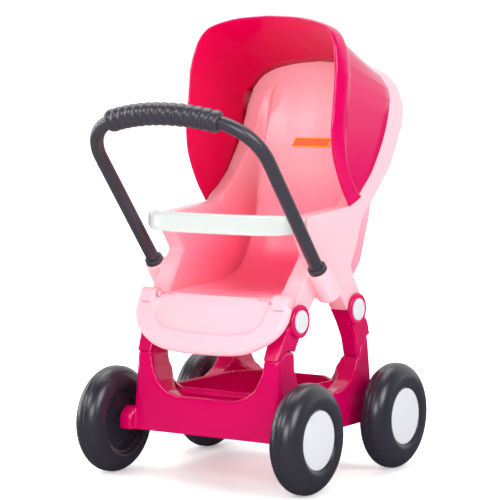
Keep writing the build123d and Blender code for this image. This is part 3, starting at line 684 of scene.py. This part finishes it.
def makeBumper():
    at = np.linspace(0, len(bumper["path"]) - 1, 57)
    right = through([(x, y, 0) for x, y in bumper["path"]], at)
    sizes = through(list(zip(bumper["deep"], bumper["tall"], bumper["lift"])), at)
    line = np.vstack([right[:0:-1] * (-1, 1, 1), right])
    sizes = np.vstack([sizes[:0:-1], sizes])
    run = np.gradient(line, axis=0)
    run /= np.linalg.norm(run, axis=1, keepdims=True)
    verts = []
    count = bumper["around"]
    for i, (centre, way) in enumerate(zip(line, run)):
        out = np.array((way[1], -way[0], 0))
        ends = min(i, len(line) - 1 - i)
        close = (0.72, 0.93)[ends] if ends < 2 else 1
        for k in range(count):
            turn = 2 * math.pi * k / count
            c, d = math.cos(turn), math.sin(turn)
            a = math.copysign(abs(c) ** bumper["power"], c) * sizes[i][0] * close
            b = math.copysign(abs(d) ** bumper["power"], d) * sizes[i][1] * close
            verts.append(tuple(centre + out * a + np.array((0, 0, bumper["z"] + sizes[i][2] + b))))
    rings = len(line)
    faces = [(i * count + k, i * count + (k + 1) % count, (i + 1) * count + (k + 1) % count, (i + 1) * count + k)
             for i in range(rings - 1) for k in range(count)]
    faces += [tuple(range(count)), tuple((rings - 1) * count + k for k in range(count))]
    solid = looseSolid("bumperRail", verts, faces)
    for side in (-1, 1):
        block = prism(bumper["block"], side * bumper["blockInner"], side * bumper["blockOuter"])
        carve(solid, looseSolid("block", *block), "UNION")
        x, y, z = bumper["pegSpot"]
        carve(solid, looseSolid("peg", *turned(bumper["peg"], (side * x, y, z), (0, 1, 0), 32)), "UNION")
    return rounded(solid, 1.0, 6)


finished(makeBumper(), bumperPlastic, "frame", ["bumper_bar"])


# the footboard: the moulding with its two hinge blocks squared up and a slit under each
footBoard = {"hinge": (-84.5, 216.7), "slope": math.radians(63), "blockInner": 83.5, "blockOuter": 103.4,
             "block": [(-12, 3), (0, 3), (0, 7.9), (-12, 7.9)], "slitInner": 87, "slitOuter": 99.5,
             "slit": [(-14, 2.5), (-12.5, 2.5), (-12.5, 12), (-14, 12)]}


def makeFootBoard():
    board = cadCopy("footBoard", "footrest")
    along = (math.cos(footBoard["slope"]), math.sin(footBoard["slope"]))

    def onBoard(points):
        # (down the board, out of its face) to (y, z)
        y, z = footBoard["hinge"]
        return [(y + v * along[0] - w * along[1], z + v * along[1] + w * along[0]) for v, w in points]

    for side in (-1, 1):
        block = prism(onBoard(footBoard["block"]), side * footBoard["blockInner"], side * footBoard["blockOuter"])
        carve(board, looseSolid("block", *block), "UNION")
    rounded(board, 1.1, 6)
    for side in (-1, 1):
        slit = prism(onBoard(footBoard["slit"]), side * footBoard["slitInner"], side * footBoard["slitOuter"])
        carve(board, looseSolid("slit", *slit))
    return board


finished(makeFootBoard(), seatPlastic, "footrest", ["footrest"])


# the label on the seat's back: a thin film with a raised middle, slanted at its ends
label = {"half": 27.0, "halfTall": 6.0, "slant": 2.2, "z": 393.0, "y": 131.9, "lean": 0.215, "dish": 1.2, "border": 1.1}


def labelGrid(inset, lift):
    rows = []
    for v in np.linspace(-1, 1, 5):
        tall = (label["halfTall"] - inset) * v
        across = np.linspace(-1, 1, 13) * (label["half"] - inset)
        rows.append([(x + label["slant"] * v, label["y"] + label["lean"] * tall - label["dish"] * (x / 40) ** 2 - lift,
                      label["z"] + tall) for x in across])
    return np.array(rows)


finished(walled("labelBorder", labelGrid(0, 0.5), labelGrid(0, -0.4)), labelEdge, "frame", ["back_label"], 40)
finished(walled("labelMiddle", labelGrid(label["border"], 0.62), labelGrid(label["border"], 0.3)), labelFilm, "frame",
         (), 40)


# floor, light and camera
floor = link("floor", meshFrom("floor", [(-8, -8, 0), (8, -8, 0), (8, 14, 0), (-8, 14, 0)], [(0, 1, 2, 3)]))
floorPaint = bpy.data.materials.new("paleFloor")
floorPaint.use_nodes = True
floorShader = floorPaint.node_tree.nodes["Principled BSDF"]
floorShader.inputs["Base Color"].default_value = (0.95, 0.95, 0.96, 1)
floorShader.inputs["Roughness"].default_value = 0.45
floorShader.inputs["Specular IOR Level"].default_value = 0.25
# painted light: the floor glows, faintly near the object and fully far from it, so the distance turns white whatever
# the lamps do
floorShader.inputs["Emission Color"].default_value = (1, 1, 1, 1)
paintedGlowPlace = floorPaint.node_tree.nodes.new("ShaderNodeTexCoord")
reach = floorPaint.node_tree.nodes.new("ShaderNodeVectorMath")
reach.operation = "LENGTH"
paintedFloorGlow = floorPaint.node_tree.nodes.new("ShaderNodeMapRange")
paintedFloorGlow.inputs["From Min"].default_value = 0.2
paintedFloorGlow.inputs["From Max"].default_value = 1.6
paintedFloorGlow.inputs["To Min"].default_value = 0.34
paintedFloorGlow.inputs["To Max"].default_value = 1.0
# painted dark reflection: glossy rays see the floor as a dark grey sheet, so shiny parts reflect dark below them
paintedDarkReflection = floorPaint.node_tree.nodes.new("ShaderNodeBsdfDiffuse")
paintedDarkReflection.inputs["Color"].default_value = (0.12, 0.12, 0.12, 1)
glossyRaySwitch = floorPaint.node_tree.nodes.new("ShaderNodeLightPath")
choice = floorPaint.node_tree.nodes.new("ShaderNodeMixShader")
floorLinks = floorPaint.node_tree.links
floorLinks.new(paintedGlowPlace.outputs["Object"], reach.inputs[0])
floorLinks.new(reach.outputs["Value"], paintedFloorGlow.inputs["Value"])
floorLinks.new(paintedFloorGlow.outputs["Result"], floorShader.inputs["Emission Strength"])
floorLinks.new(glossyRaySwitch.outputs["Is Glossy Ray"], choice.inputs["Fac"])
floorLinks.new(floorShader.outputs["BSDF"], choice.inputs[1])
floorLinks.new(paintedDarkReflection.outputs["BSDF"], choice.inputs[2])
floorLinks.new(choice.outputs["Shader"], floorPaint.node_tree.nodes["Material Output"].inputs["Surface"])
floor.data.materials.append(floorPaint)

camera = link("camera", bpy.data.cameras.new("camera"))
view = {"spot": (1.3584, -2.09297, 0.4773), "azimuth": 32.824, "elevation": 4.5, "lens": 150.2,
        "shift": (-0.00968, -0.0222)}
azimuth = math.radians(view["azimuth"])
elevation = math.radians(view["elevation"])
towards = Vector((math.sin(azimuth) * math.cos(elevation), -math.cos(azimuth) * math.cos(elevation), math.sin(elevation)))
camera.location = view["spot"]
camera.rotation_euler = towards.to_track_quat("Z", "Y").to_euler()
camera.data.lens = view["lens"]
camera.data.sensor_width = 36
camera.data.shift_x, camera.data.shift_y = view["shift"]
camera.data.clip_end = 50
bpy.context.scene.camera = camera
bpy.context.scene.view_settings.view_transform = "Standard"


def studioWorld():
    # white all round for the eye, but the light is bright behind and dim in front
    world = bpy.data.worlds.new("studio")
    world.use_nodes = True
    nodes, links = world.node_tree.nodes, world.node_tree.links
    lit = nodes["Background"]
    lit.inputs["Color"].default_value = (1, 1, 1, 1)
    seen = nodes.new("ShaderNodeBackground")
    seen.inputs["Color"].default_value = (1, 1, 1, 1)
    seen.inputs["Strength"].default_value = 1.05
    way = nodes.new("ShaderNodeTexCoord")
    dot = nodes.new("ShaderNodeVectorMath")
    dot.operation = "DOT_PRODUCT"
    dot.inputs[1].default_value = (-0.45, 0.89, 0)
    links.new(way.outputs["Generated"], dot.inputs[0])
    fade = nodes.new("ShaderNodeMapRange")
    fade.interpolation_type = "SMOOTHSTEP"
    fade.inputs["From Min"].default_value = 0.1
    fade.inputs["From Max"].default_value = 0.5
    fade.inputs["To Min"].default_value = 0.05
    fade.inputs["To Max"].default_value = 1.1
    links.new(dot.outputs["Value"], fade.inputs["Value"])
    links.new(fade.outputs["Result"], lit.inputs["Strength"])
    path = nodes.new("ShaderNodeLightPath")
    mix = nodes.new("ShaderNodeMixShader")
    links.new(path.outputs["Is Camera Ray"], mix.inputs["Fac"])
    links.new(lit.outputs["Background"], mix.inputs[1])
    links.new(seen.outputs["Background"], mix.inputs[2])
    links.new(mix.outputs["Shader"], nodes["World Output"].inputs["Surface"])
    bpy.context.scene.world = world


studioWorld()


def softLight(name, spot, aim, size, power):
    lamp = bpy.data.lights.new(name, "AREA")
    lamp.shape = "RECTANGLE"
    lamp.size, lamp.size_y = size
    lamp.energy = power
    obj = bpy.data.objects.new(name, lamp)
    bpy.context.scene.collection.objects.link(obj)
    obj.location = spot
    obj.rotation_euler = (Vector(aim) - Vector(spot)).to_track_quat("-Z", "Y").to_euler()


softLight("overhead", (-0.2, 0.5, 2.4), (0, 0, 0.3), (2.0, 1.6), 36)
softLight("sideRight", (2.3, -0.55, 1.5), (0, 0, 0.3), (1.2, 1.2), 40)
softLight("highFront", (-0.7, -2.2, 1.9), (0, 0, 0.35), (1.5, 1.0), 33)
softLight("fill", (1.3, -2.3, 1.0), (0, 0, 0.33), (1.3, 0.9), 30)
softLight("stripLeft", (-2.3, -1.0, 0.7), (0, 0, 0.3), (0.2, 1.5), 12)
softLight("stripFarLeft", (-2.5, 0.0, 0.7), (0, 0, 0.3), (0.2, 1.5), 12)
print("stage set")
